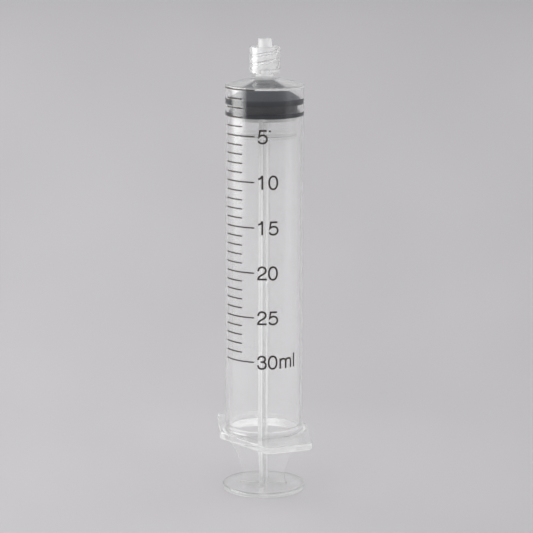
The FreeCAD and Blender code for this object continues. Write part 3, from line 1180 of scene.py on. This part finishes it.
@dataclass
class PrintedScale:
    """The scale pad printed on the barrel: a line for each millilitre and numbers by the long ones."""

    finish: PadPrintedInk
    barrel: BarrelMoulding
    node: str = "graduation_marks"
    divisions: int = 30
    long_every: int = 5
    zero_drop: float = 0.63
    line_width: float = 0.42
    line_start_deg: float = -68.5
    short_deg: float = 34.8
    long_deg: float = 54.1
    zero_lead_deg: float = 13.5
    film: float = 0.03
    lift: float = 0.004
    em: float = 6.0
    stroke: float = 0.55
    least_mitre: float = 0.4
    numeral_gap: float = 0.72
    numeral_middle_ems: float = 0.351
    unit: str = "ml"
    facet_mm: float = 0.35
    edge_step: float = 0.5
    ragged: float = 0.010
    ragged_seed: int = 30
    line_end_share: float = 0.72
    speck_deg: float = 7.6
    speck_z: float = 112.05
    speck_width: float = 0.55

    def ribbon(self, name: str, line: list[Point], width: float, ring: bool = False) -> bpy.types.Object:
        """A flat stroke of ink, with the print's plane as X and Y and the film's thickness as Z.

        Args:
            name: Name of the stroke.
            line: Middle line of the stroke in millimetres.
            width: Width of the stroke.
            ring: Whether the line closes on itself.

        Returns:
            The stroke as a closed solid, in millimetres.
        """
        points = np.array(line)
        if ring:
            before, after = np.roll(points, 1, axis=0), np.roll(points, -1, axis=0)
        else:
            before = np.vstack([2 * points[:1] - points[1:2], points[:-1]])
            after = np.vstack([points[1:], 2 * points[-1:] - points[-2:-1]])
        arriving = points - before
        leaving = after - points
        arriving /= np.linalg.norm(arriving, axis=1)[:, None]
        leaving /= np.linalg.norm(leaving, axis=1)[:, None]
        across = np.stack([-(arriving + leaving)[:, 1], (arriving + leaving)[:, 0]], axis=1)
        across /= np.linalg.norm(across, axis=1)[:, None]
        mitre = 1 / np.clip(across[:, 0] * -leaving[:, 1] + across[:, 1] * leaving[:, 0],
                            self.least_mitre, 1)
        side = across * (width / 2 * mitre)[:, None]
        rings = [self.section(left, right) for left, right in zip(points + side, points - side)]
        return skinned(name, rings, closed=ring)

    def section(self, left: Point, right: Point) -> np.ndarray:
        """The film's four corners between the two edges of a stroke."""
        return np.array([(*left, 0), (*right, 0), (*right, self.film), (*left, self.film)])

    def lay_on_barrel(self, piece: bpy.types.Object) -> bpy.types.Object:
        """Cut a flat print into narrow facets and bend it round the barrel.

        Args:
            piece: Print with the way round the barrel as X, from the front, and height as Y.

        Returns:
            The same piece, bent.
        """
        form = bmesh.new()
        form.from_mesh(piece.data)
        low = min(v.co.x for v in form.verts) / MM
        high = max(v.co.x for v in form.verts) / MM
        for cut in np.arange(low + self.facet_mm, high, self.facet_mm):
            geometry = form.verts[:] + form.edges[:] + form.faces[:]
            bmesh.ops.bisect_plane(form, geom=geometry, plane_co=(cut * MM, 0, 0), plane_no=(1, 0, 0))
        for vert in form.verts:
            radius = self.barrel.outer_r * MM + self.lift * MM + vert.co.z
            angle = vert.co.x / (self.barrel.outer_r * MM) - math.pi / 2
            vert.co = (radius * math.cos(angle), radius * math.sin(angle), vert.co.y)
        bmesh.ops.recalc_face_normals(form, faces=form.faces)
        form.to_mesh(piece.data)
        form.free()
        return piece

    def line_z(self, ml: int) -> float:
        """Height of a line of the scale."""
        per_ml = CUBIC_MM_PER_ML / (math.pi * self.barrel.bore_r**2)
        return self.barrel.shoulder_z - self.zero_drop - ml * per_ml

    def inked(self, piece: bpy.types.Object, node: str | None = None) -> bpy.types.Object:
        """Lay a flat print on the barrel as ink that rides on it, in place of a node if one is named."""
        piece = smoothed(self.lay_on_barrel(piece), flat_faces=False)
        return dressed(piece, self.finish, Body.BARREL, node)

    def lines(self) -> bpy.types.Object:
        """Print the lines of the scale as one piece, with slightly uneven edges, and return it."""
        rng = np.random.default_rng(self.ragged_seed)
        radius = self.barrel.outer_r
        half = self.line_width / 2
        lines = []
        for ml in range(self.divisions + 1):
            sweep = self.long_deg if ml % self.long_every == 0 else self.short_deg
            lead = self.zero_lead_deg if ml == 0 else 0
            start = math.radians(self.line_start_deg - lead) * radius
            length = math.radians(sweep + lead) * radius
            z = self.line_z(ml)
            rings = []
            for station in np.linspace(0, length, round(length / self.edge_step) + 1):
                from_end = min(1.0, min(station, length - station) / half)
                taper = self.line_end_share + (1 - self.line_end_share) * from_end
                up, down = half * taper + rng.uniform(-1, 1, 2) * self.ragged
                rings.append(self.section((start + station, z + up), (start + station, z - down)))
            lines.append(skinned("line", rings, closed=False))
        return self.inked(gathered("scale_lines", lines), self.node)

    def numeral(self, text: str, x: float, z: float) -> bpy.types.Object:
        """One number, welded into one flat solid.

        Args:
            text: Characters to print.
            x: Left end of the number, round the barrel from the front.
            z: Height of the number's middle.

        Returns:
            The number.
        """
        base = z - self.numeral_middle_ems * self.em
        pen = x
        strokes = []
        for character in text:
            glyph = GLYPHS[character]
            for stroke in glyph.strokes:
                line = [(pen + px * self.em, base + py * self.em) for px, py in stroke]
                strokes.append(self.ribbon("stroke", line, self.stroke, glyph.ring))
            pen += glyph.advance * self.em
        return united(strokes)

    def numerals(self) -> bpy.types.Object:
        """Print the numbers as one piece, with the speck of ink beside the first, and return it."""
        radius = self.barrel.outer_r
        x = math.radians(self.line_start_deg + self.long_deg) * radius + self.numeral_gap
        numbers = []
        for ml in range(self.long_every, self.divisions + 1, self.long_every):
            text = str(ml) + (self.unit if ml == self.divisions else "")
            numbers.append(self.numeral(text, x, self.line_z(ml)))
        speck_x = math.radians(self.speck_deg) * radius
        ends = [(speck_x + side * self.speck_width / 2, self.speck_z) for side in (-1, 1)]
        speck = self.ribbon("speck", ends, self.speck_width)
        return self.inked(gathered("scale_numerals", numbers + [speck]))


@dataclass(frozen=True)
class SoftWindow:
    """A curtained window that only glossy skins see, as a mirrored highlight.

    It is bright in the middle and fades out towards its sides and its lower edge. The curtain is
    thicker over its lower half.

    Attributes:
        facing_deg: Direction of its middle, from the camera's side towards the left.
        distance: Distance from the axis.
        full_half_width: Half the width of its bright middle.
        half_width: Half of its whole width.
        low: Height where it is dark.
        step: Height where it reaches the brightness of its lower half.
        sill: Height where its upper half begins.
        full: Height where it reaches its full brightness.
        high: Height of its upper edge.
        radiance: Its full brightness, where 1 is that of a lit white surface.
        lower_share: Share of it that the lower half reaches.
    """

    facing_deg: float = 82.0
    distance: float = 300.0
    full_half_width: float = 53.0
    half_width: float = 180.0
    low: float = 12.0
    step: float = 54.0
    sill: float = 66.0
    full: float = 79.0
    high: float = 420.0
    radiance: float = 8.4
    lower_share: float = 0.36

    def glow(self) -> bpy.types.Material:
        """Build the window's light, which the room behind still shines through, and return it."""
        material, tree, place = new_material("window_light")
        split = add_node(tree, "ShaderNodeSeparateXYZ", {"Vector": place})
        aside = add_node(tree, "ShaderNodeMath", {0: split.outputs["X"]}, operation="ABSOLUTE")
        middle = add_node(tree, "ShaderNodeMapRange", {
            "Value": aside, "From Min": self.full_half_width * MM,
            "From Max": self.half_width * MM, "To Min": self.radiance, "To Max": 0.0})
        lower = add_node(tree, "ShaderNodeMapRange", {
            "Value": split.outputs["Z"], "From Min": self.low * MM, "From Max": self.step * MM,
            "To Max": self.lower_share})
        upper = add_node(tree, "ShaderNodeMapRange", {
            "Value": split.outputs["Z"], "From Min": self.sill * MM, "From Max": self.full * MM,
            "To Max": 1 - self.lower_share})
        height = add_node(tree, "ShaderNodeMath", {
            0: lower, 1: upper}, operation="ADD")
        strength = add_node(tree, "ShaderNodeMath", {
            0: middle, 1: height}, operation="MULTIPLY")
        glow = add_node(tree, "ShaderNodeEmission", {"Strength": strength})
        room = add_node(tree, "ShaderNodeBsdfTransparent")
        both = add_node(tree, "ShaderNodeAddShader", {0: glow, 1: room})
        add_node(tree, "ShaderNodeOutputMaterial", {"Surface": both})
        return material

    def build(self) -> bpy.types.Object:
        """Set up the window and return it."""
        corners = [(side * self.half_width * MM, 0, z * MM)
                   for side, z in ((-1, self.low), (1, self.low), (1, self.high), (-1, self.high))]
        mesh = bpy.data.meshes.new("soft_window")
        mesh.from_pydata(corners, [], [(0, 1, 2, 3)])
        window = new_piece("soft_window", mesh)
        facing = math.radians(self.facing_deg)
        window.location = Vector((-math.sin(facing), -math.cos(facing), 0)) * self.distance * MM
        window.rotation_euler.z = -facing
        window.data.materials.append(self.glow())
        for kind in ("camera", "diffuse", "shadow", "transmission", "volume_scatter"):
            setattr(window, f"visible_{kind}", False)
        return window


@dataclass
class Studio:
    """Floor, lamps, windows, room and camera of the picture.

    The haze lamps light nothing but the milk inside the plastic. They stand for the light that the
    room and the paper send into it from all round.
    """

    focal_px: float = 2093.98
    frame_px: float = 533.0
    sensor: float = 36.0
    camera_x: float = 0.688
    camera_away: float = 623.79
    camera_z: float = 189.86
    pitch_deg: float = 10.9373
    roll_deg: float = 0.158
    floor_half: float = 6000.0
    floor_gap: float = 0.02
    front_light: float = 0.42
    back_light: float = 0.51
    right_light: float = 0.36
    upper_share: float = 0.25
    upper_from: float = 0.45
    upper_to: float = 0.95
    room_tint: str = "#fdfdff"
    ceiling_size: float = 5000.0
    ceiling_height: float = 5000.0
    ceiling_back: float = 100.0
    ceiling_light: float = 2.95
    haze_size: float = 2000.0
    haze_away: float = 1900.0
    haze_deg: float = 48.0
    haze_light: float = 4.0
    floor_haze_size: float = 400.0
    floor_haze_away: float = 220.0
    floor_haze_z: float = 1.0
    floor_haze_light: float = 2.4
    foot_haze_size: float = 30.0
    foot_haze_away: float = 60.0
    foot_haze_z: float = 8.0
    foot_haze_light: float = 17.0
    windows: tuple[SoftWindow, ...] = (
        SoftWindow(),
        SoftWindow(facing_deg=120.0, full_half_width=50.0, half_width=110.0, low=150.0, step=175.0,
                   sill=175.0, full=200.0, high=420.0, radiance=5.0),
        SoftWindow(facing_deg=-74.0, full_half_width=35.0, half_width=80.0, low=0.0, step=20.0,
                   sill=200.0, full=210.0, high=200.0, radiance=0.65, lower_share=1.0),
    )

    def camera(self) -> bpy.types.Object:
        """Set up the camera where the photograph was taken from and return it."""
        data = bpy.data.cameras.new("photo_camera")
        data.sensor_width = self.sensor
        data.lens = self.focal_px / self.frame_px * self.sensor
        data.clip_end = 100.0
        camera = bpy.data.objects.new("photo_camera", data)
        bpy.context.scene.collection.objects.link(camera)
        place = Matrix.Translation(Vector((self.camera_x, -self.camera_away, self.camera_z)) * MM)
        pitch = Matrix.Rotation(math.radians(90 - self.pitch_deg), 4, "X")
        roll = Matrix.Rotation(math.radians(self.roll_deg), 4, "Z")
        camera.matrix_world = place @ pitch @ roll
        bpy.context.scene.camera = camera
        return camera

    def floor(self) -> bpy.types.Object:
        """Lay the pale floor that the object stands on and return it."""
        half = self.floor_half * MM
        mesh = bpy.data.meshes.new("floor")
        low = -self.floor_gap * MM
        corners = [(x * half, y * half, low) for x, y in ((-1, -1), (1, -1), (1, 1), (-1, 1))]
        mesh.from_pydata(corners, [], [(0, 1, 2, 3)])
        floor = new_piece("floor", mesh)
        floor.data.materials.append(BackdropPaper().material())
        return floor

    def world(self) -> bpy.types.World:
        """Fill the room with soft light and return the world.

        It is a little darker on the camera's side, brighter towards the right, and dim overhead.
        """
        world = bpy.data.worlds.new("soft_room")
        world.use_nodes = True
        tree = world.node_tree
        tree.nodes.clear()
        place = add_node(tree, "ShaderNodeTexCoord")
        split = add_node(tree, "ShaderNodeSeparateXYZ", {"Vector": place.outputs["Generated"]})
        along = add_node(tree, "ShaderNodeMapRange", {
            "Value": split.outputs["Y"], "From Min": -1.0, "From Max": 1.0,
            "To Min": self.front_light, "To Max": self.back_light})
        aside = add_node(tree, "ShaderNodeMapRange", {
            "Value": split.outputs["X"], "From Min": 0.0, "From Max": 1.0, "To Max": self.right_light})
        walls = add_node(tree, "ShaderNodeMath", {
            0: along, 1: aside}, operation="ADD")
        height = add_node(tree, "ShaderNodeMapRange", {
            "Value": split.outputs["Z"], "From Min": self.upper_from, "From Max": self.upper_to,
            "To Min": 1.0, "To Max": self.upper_share})
        strength = add_node(tree, "ShaderNodeMath", {
            0: walls, 1: height}, operation="MULTIPLY")
        light = add_node(tree, "ShaderNodeBackground", {
            "Color": linear(self.room_tint), "Strength": strength})
        add_node(tree, "ShaderNodeOutputWorld", {"Surface": light})
        bpy.context.scene.world = world
        return world

    def lamps(self) -> list[bpy.types.Object]:
        """Set up the ceiling lamp and the haze lamps and return them."""
        slope = math.radians(self.haze_deg)
        above = self.lamp("ceiling_light", self.ceiling_size, self.ceiling_light,
                          (self.ceiling_back, self.ceiling_height), 0.0)
        behind = self.lamp("haze_light", self.haze_size, self.haze_light,
                           (self.haze_away * math.cos(slope), self.haze_away * math.sin(slope)),
                           slope - math.pi / 2)
        below = self.lamp("floor_haze_light", self.floor_haze_size, self.floor_haze_light,
                          (self.floor_haze_away, self.floor_haze_z), math.pi)
        before = self.lamp("foot_haze_light", self.foot_haze_size, self.foot_haze_light,
                           (-self.foot_haze_away, self.foot_haze_z), math.pi / 2)
        for lamp in (behind, below, before):
            lamp.visible_camera = False
            lamp.visible_diffuse = False
        # With the ceiling sampled as a lamp only, the shadows under the clear plastic stay light
        above.data.cycles.use_multiple_importance_sampling = False
        return [above, behind, below, before]

    def lamp(self, name: str, size: float, radiance: float, place: Point, tilt: float) -> bpy.types.Object:
        """Set up a square lamp that glossy and clear surfaces don't show.

        Args:
            name: Name of the lamp.
            size: Length of its sides.
            radiance: Its brightness, where 1 is that of a lit white surface.
            place: How far it is behind the axis, and its height.
            tilt: How far it is tipped about X from shining straight down, in radians.

        Returns:
            The lamp.
        """
        data = bpy.data.lights.new(name, "AREA")
        data.shape = "SQUARE"
        data.size = size * MM
        data.energy = radiance * math.pi * (size * MM)**2
        lamp = bpy.data.objects.new(name, data)
        lamp.location = (0, place[0] * MM, place[1] * MM)
        lamp.rotation_euler.x = tilt
        lamp.visible_glossy = False
        lamp.visible_transmission = False
        bpy.context.scene.collection.objects.link(lamp)
        return lamp

    def build(self) -> None:
        """Set up everything round the object."""
        self.camera()
        self.floor()
        self.world()
        self.lamps()
        for window in self.windows:
            window.build()
        bpy.context.scene.view_settings.view_transform = "Standard"


def main() -> None:
    """Build the syringe's pieces and the studio round them, and log each piece's count of faces."""
    logging.basicConfig(level=logging.INFO, format="%(name)s: %(message)s")
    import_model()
    clear = MouldedPolypropylene("clear_polypropylene", roughness=0.05, milk_per_mm=0.065, ripple_mm=6.0,
                                 matt=MattCore())
    milky = MouldedPolypropylene("milky_polypropylene", roughness=0.08, milk_per_mm=0.085, ripple_mm=5.0)
    barrel = BarrelMoulding(clear)
    scale = PrintedScale(PadPrintedInk(), barrel)
    pieces = [
        barrel.build(),
        RubberStopper(MouldedRubber()).build(),
        PlungerRod(milky).build(),
        scale.lines(),
        scale.numerals(),
    ]
    for piece in pieces:
        LOG.info("%s: %d faces", piece.name, len(piece.data.polygons))
    Studio().build()


if __name__ == "__main__":
    main()
